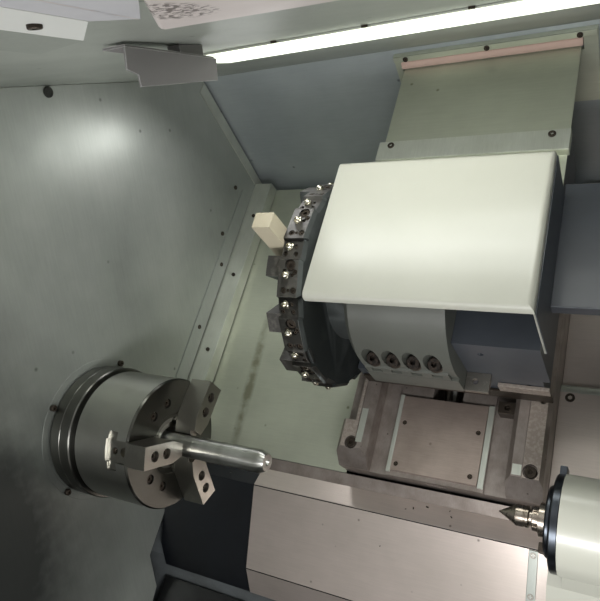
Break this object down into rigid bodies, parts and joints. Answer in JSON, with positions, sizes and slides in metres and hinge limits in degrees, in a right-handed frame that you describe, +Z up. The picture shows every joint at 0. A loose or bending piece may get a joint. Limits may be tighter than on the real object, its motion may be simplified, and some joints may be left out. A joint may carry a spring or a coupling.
{
  "type": "cnc turning lathe",
  "caption": "Enclosed slant-bed turning lathe with three-jaw chuck, indexing tool turret, tailstock with live centre, sliding front door and control console.",
  "frame": {"origin": "centre of the machine's footprint box, at floor level under the feet", "axes": "+X along the spindle from headstock to tailstock, +Y from the operator's side to the rear, +Z up"},
  "size_m": [2.1, 1.54, 1.75],
  "materials": {
    "casting_paint": "satin grey paint over cast iron, with scraped bare tops on the ways",
    "shell_paint": "fine-textured off-white powder coat",
    "slate_paint": "dark blue-grey satin paint",
    "cream_paint": "cream gloss paint",
    "grey_paint": "light grey satin paint",
    "navy_paint": "very dark navy paint with cutting residue",
    "chamber_stainless": "soft brushed stainless sheet",
    "bright_stainless": "bright brushed stainless sheet",
    "cover_stainless": "brushed stainless sheet with faint oil stains",
    "lower_stainless": "brushed stainless sheet with a warm reflection",
    "bright_steel": "turned and ground bare steel",
    "dark_steel": "blackened steel, worn grey on its tops",
    "blued_steel": "dark ground steel with a blue tint",
    "belt_rubber": "matte black rubber",
    "lamp_diffuser": "milky lit diffuser",
    "tool_body": "dull beige coated square bar",
    "window_glass": "lightly tinted laminated glass",
    "red_plastic": "smooth red moulded plastic"
  },
  "bodies": {
    "machine": {"machine_base": "casting_paint", "bed_casting": "casting_paint", "headstock_casting": "casting_paint", "spindle_cartridge": "blued_steel", "spindle_motor": "slate_paint", "drive_belt": "belt_rubber", "headstock_wall": "chamber_stainless", "nose_cover_ring": "chamber_stainless", "bed_edge_strip": "bright_stainless", "front_bed_cover": "navy_paint", "ceiling_panel": "chamber_stainless", "work_lamp": "lamp_diffuser", "ceiling_bracket": "chamber_stainless", "right_wall": "chamber_stainless", "chip_pan": "dark_steel", "left_end_cover": "shell_paint", "right_end_cover": "shell_paint", "rear_cover": "shell_paint", "roof_cover": "shell_paint", "front_frame": "shell_paint", "door_track": "chamber_stainless", "control_panel": "slate_paint", "z_servo_motor": "slate_paint"},
    "door": {"door_panel": "shell_paint", "door_window": "window_glass", "door_handle": "blued_steel"},
    "spindle": {"spindle_shaft": "bright_steel", "spindle_pulley": "bright_steel", "rotary_cylinder": "blued_steel", "chuck_back_plate": "bright_steel", "chuck_body": "bright_steel", "bar_workpiece": "bright_steel"},
    "motor_pulley_body": {"motor_pulley": "bright_steel"},
    "jaw_1": {"master_jaw_1": "bright_steel", "top_jaw_1": "bright_steel"},
    "jaw_2": {"master_jaw_2": "bright_steel", "top_jaw_2": "bright_steel"},
    "jaw_3": {"master_jaw_3": "bright_steel", "top_jaw_3": "bright_steel"},
    "carriage": {"saddle": "casting_paint", "saddle_plate": "chamber_stainless", "left_way_cover": "cover_stainless", "right_way_cover": "cover_stainless", "upper_way_cover": "slate_paint", "wiper_frame": "chamber_stainless", "x_servo_motor": "slate_paint"},
    "z_screw": {"z_ball_screw": "bright_steel"},
    "x_screw": {"x_ball_screw": "bright_steel"},
    "cross_slide_body": {"cross_slide": "slate_paint", "turret_housing": "grey_paint", "turret_hood": "cream_paint", "right_guard": "slate_paint", "x_way_cover": "cover_stainless"},
    "turret": {"turret_disc": "dark_steel", "turning_tool": "tool_body"},
    "tailstock": {"tailstock_body": "cream_paint", "tailstock_way_cover": "lower_stainless"},
    "quill_body": {"quill": "blued_steel"},
    "centre": {"live_centre": "bright_steel"},
    "stop_button": {"emergency_stop": "red_plastic"}
  },
  "joints": [
    {"name": "door_slide", "type": "slide", "parent": "machine", "child": "door", "axis": [1, 0, 0], "range_m": [0, 0.8]},
    {"name": "spindle_turn", "type": "hinge", "parent": "machine", "child": "spindle", "pos_m": [-0.235, -0.07, 1.01], "axis": [1, 0, 0], "continuous": true},
    {"name": "motor_pulley_turn", "type": "hinge", "parent": "machine", "child": "motor_pulley_body", "pos_m": [-0.685, -0.27, 0.59], "axis": [1, 0, 0], "continuous": true},
    {"name": "jaw_1_slide", "type": "slide", "parent": "spindle", "child": "jaw_1", "axis": [0, -0.9397, 0.342], "range_m": [0, 0.0037]},
    {"name": "jaw_2_slide", "type": "slide", "parent": "spindle", "child": "jaw_2", "axis": [0, 0.1736, -0.9848], "range_m": [0, 0.0037]},
    {"name": "jaw_3_slide", "type": "slide", "parent": "spindle", "child": "jaw_3", "axis": [0, 0.766, 0.6428], "range_m": [0, 0.0037]},
    {"name": "carriage_slide", "type": "slide", "parent": "machine", "child": "carriage", "axis": [1, 0, 0], "range_m": [-0.115, 0.12]},
    {"name": "z_screw_turn", "type": "hinge", "parent": "machine", "child": "z_screw", "pos_m": [0.3, 0.34154, 1.05101], "axis": [1, 0, 0], "continuous": true},
    {"name": "x_screw_turn", "type": "hinge", "parent": "carriage", "child": "x_screw", "pos_m": [0.31, 0.28709, 1.07717], "axis": [0, 0.7071, 0.7071], "continuous": true},
    {"name": "cross_slide_travel", "type": "slide", "parent": "carriage", "child": "cross_slide_body", "axis": [0, 0.7071, 0.7071], "range_m": [-0.07, 0.07]},
    {"name": "turret_turn", "type": "hinge", "parent": "cross_slide_body", "child": "turret", "pos_m": [0.15, 0.14213, 1.22213], "axis": [1, 0, 0], "continuous": true},
    {"name": "tailstock_slide", "type": "slide", "parent": "machine", "child": "tailstock", "axis": [1, 0, 0], "range_m": [-0.08, 0.07]},
    {"name": "quill_slide", "type": "slide", "parent": "tailstock", "child": "quill_body", "axis": [-1, 0, 0], "range_m": [0, 0.08]},
    {"name": "live_centre_turn", "type": "hinge", "parent": "quill_body", "child": "centre", "pos_m": [0.46, -0.07, 1.01], "axis": [1, 0, 0], "continuous": true},
    {"name": "stop_press", "type": "slide", "parent": "machine", "child": "stop_button", "axis": [0, 1, 0], "range_m": [0, 0.005], "stiffness_N_per_m": 600}
  ],
  "couplings": [
    {"joint": "motor_pulley_turn", "follows": "spindle_turn", "ratio": 1.4167},
    {"joint": "jaw_2_slide", "follows": "jaw_1_slide", "ratio": 1},
    {"joint": "jaw_3_slide", "follows": "jaw_1_slide", "ratio": 1},
    {"joint": "z_screw_turn", "follows": "carriage_slide", "rad_per_m": -628.32},
    {"joint": "x_screw_turn", "follows": "cross_slide_travel", "rad_per_m": -628.32}
  ]
}
